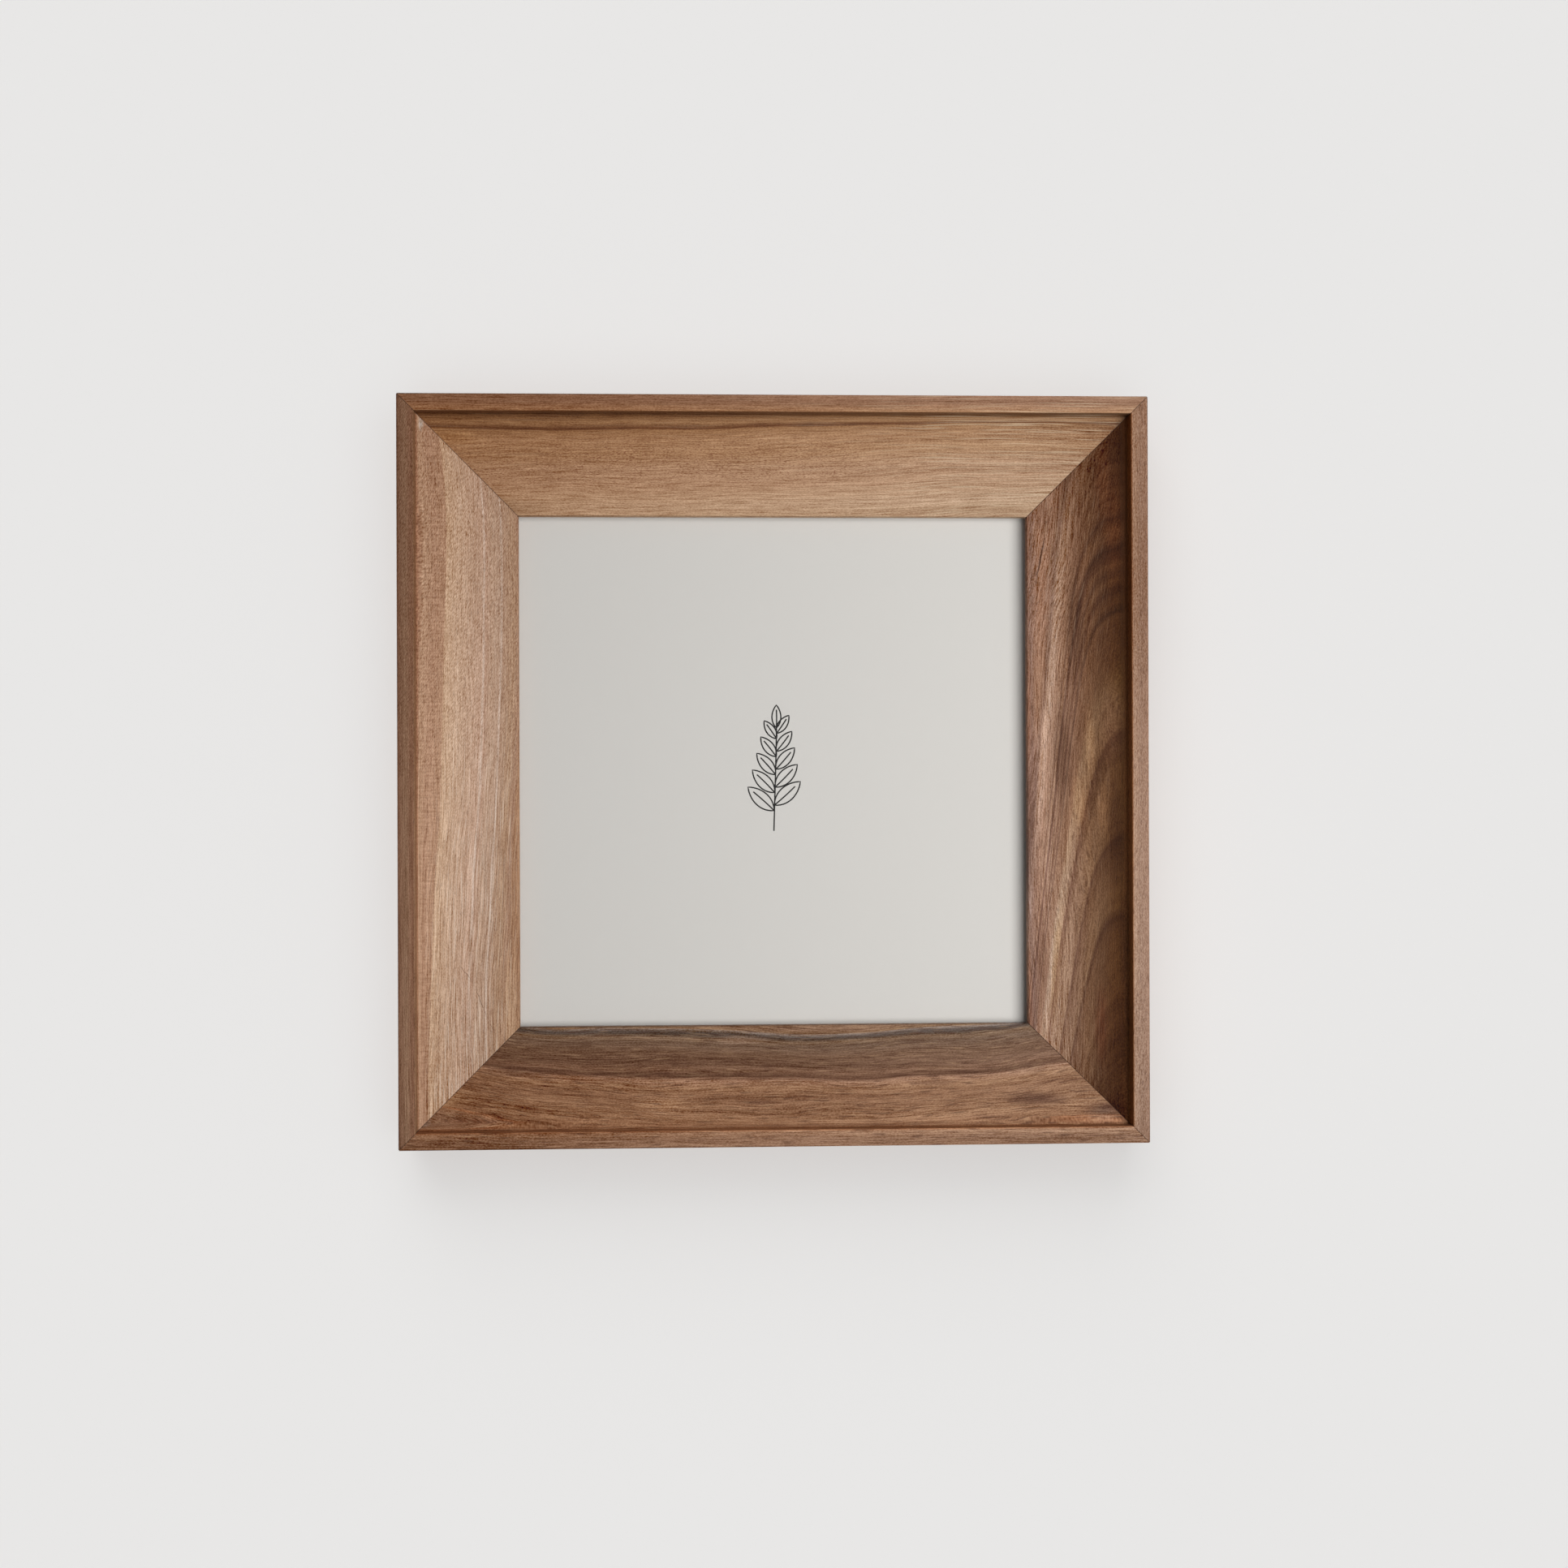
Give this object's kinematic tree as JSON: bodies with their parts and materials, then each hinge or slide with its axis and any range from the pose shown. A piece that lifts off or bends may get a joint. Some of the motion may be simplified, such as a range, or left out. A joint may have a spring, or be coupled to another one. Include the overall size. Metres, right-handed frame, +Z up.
{
  "type": "picture frame",
  "caption": "Square solid-wood picture frame with mitred rails, a raised outer rim and a sloping face, glazed, with turn buttons and a ring hanger behind.",
  "frame": {"origin": "the point on the wall behind the top of the ring's eye, where the picture hook holds the ring", "axes": "+Z up, +Y into the wall, the picture faces -Y, +X to the right as it is looked at"},
  "size_m": [0.282, 0.0316, 0.282],
  "materials": {
    "light_elm": "satin",
    "dark_elm": "satin",
    "glass": "polished",
    "paper": "matte",
    "card": "matte",
    "hardboard": "matte",
    "nickel_steel": "satin",
    "zinc_steel": "satin",
    "rubber": "matte"
  },
  "bodies": {
    "frame": {"rail_top": "light_elm", "rail_left": "light_elm", "rail_bottom": "dark_elm", "rail_right": "dark_elm", "v_nail_top_right_outer": "zinc_steel", "v_nail_top_right_inner": "zinc_steel", "v_nail_top_left_outer": "zinc_steel", "v_nail_top_left_inner": "zinc_steel", "v_nail_bottom_left_outer": "zinc_steel", "v_nail_bottom_left_inner": "zinc_steel", "v_nail_bottom_right_outer": "zinc_steel", "v_nail_bottom_right_inner": "zinc_steel", "button_screw_top_right": "zinc_steel", "button_screw_top_left": "zinc_steel", "button_screw_left_upper": "zinc_steel", "button_screw_left_lower": "zinc_steel", "button_screw_bottom_left": "zinc_steel", "button_screw_bottom_right": "zinc_steel", "button_screw_right_lower": "zinc_steel", "button_screw_right_upper": "zinc_steel", "glass_pane": "glass", "print_sheet": "paper", "backing_card": "card", "backing_board": "hardboard", "hanger_strap": "nickel_steel", "hanger_screw": "zinc_steel", "bumper_left": "rubber", "bumper_right": "rubber"},
    "hanger_ring": {"hanger_ring": "nickel_steel"},
    "turn_button_top_right": {"turn_button_top_right": "nickel_steel"},
    "turn_button_top_left": {"turn_button_top_left": "nickel_steel"},
    "turn_button_left_upper": {"turn_button_left_upper": "nickel_steel"},
    "turn_button_left_lower": {"turn_button_left_lower": "nickel_steel"},
    "turn_button_bottom_left": {"turn_button_bottom_left": "nickel_steel"},
    "turn_button_bottom_right": {"turn_button_bottom_right": "nickel_steel"},
    "turn_button_right_lower": {"turn_button_right_lower": "nickel_steel"},
    "turn_button_right_upper": {"turn_button_right_upper": "nickel_steel"}
  },
  "joints": [
    {"name": "hanger_ring_swing", "type": "hinge", "parent": "frame", "child": "hanger_ring", "pos_m": [0, -0.00255, -0.015], "axis": [-1, 0, 0], "range_deg": [0, 180]},
    {"name": "turn_button_top_right_spin", "type": "hinge", "parent": "frame", "child": "turn_button_top_right", "pos_m": [0.06, -0.004, -0.028], "axis": [0, 1, 0], "continuous": true},
    {"name": "turn_button_top_left_spin", "type": "hinge", "parent": "frame", "child": "turn_button_top_left", "pos_m": [-0.06, -0.004, -0.028], "axis": [0, 1, 0], "continuous": true},
    {"name": "turn_button_left_upper_spin", "type": "hinge", "parent": "frame", "child": "turn_button_left_upper", "pos_m": [-0.108, -0.004, -0.076], "axis": [0, 1, 0], "continuous": true},
    {"name": "turn_button_left_lower_spin", "type": "hinge", "parent": "frame", "child": "turn_button_left_lower", "pos_m": [-0.108, -0.004, -0.196], "axis": [0, 1, 0], "continuous": true},
    {"name": "turn_button_bottom_left_spin", "type": "hinge", "parent": "frame", "child": "turn_button_bottom_left", "pos_m": [-0.06, -0.004, -0.244], "axis": [0, 1, 0], "continuous": true},
    {"name": "turn_button_bottom_right_spin", "type": "hinge", "parent": "frame", "child": "turn_button_bottom_right", "pos_m": [0.06, -0.004, -0.244], "axis": [0, 1, 0], "continuous": true},
    {"name": "turn_button_right_lower_spin", "type": "hinge", "parent": "frame", "child": "turn_button_right_lower", "pos_m": [0.108, -0.004, -0.196], "axis": [0, 1, 0], "continuous": true},
    {"name": "turn_button_right_upper_spin", "type": "hinge", "parent": "frame", "child": "turn_button_right_upper", "pos_m": [0.108, -0.004, -0.076], "axis": [0, 1, 0], "continuous": true}
  ]
}
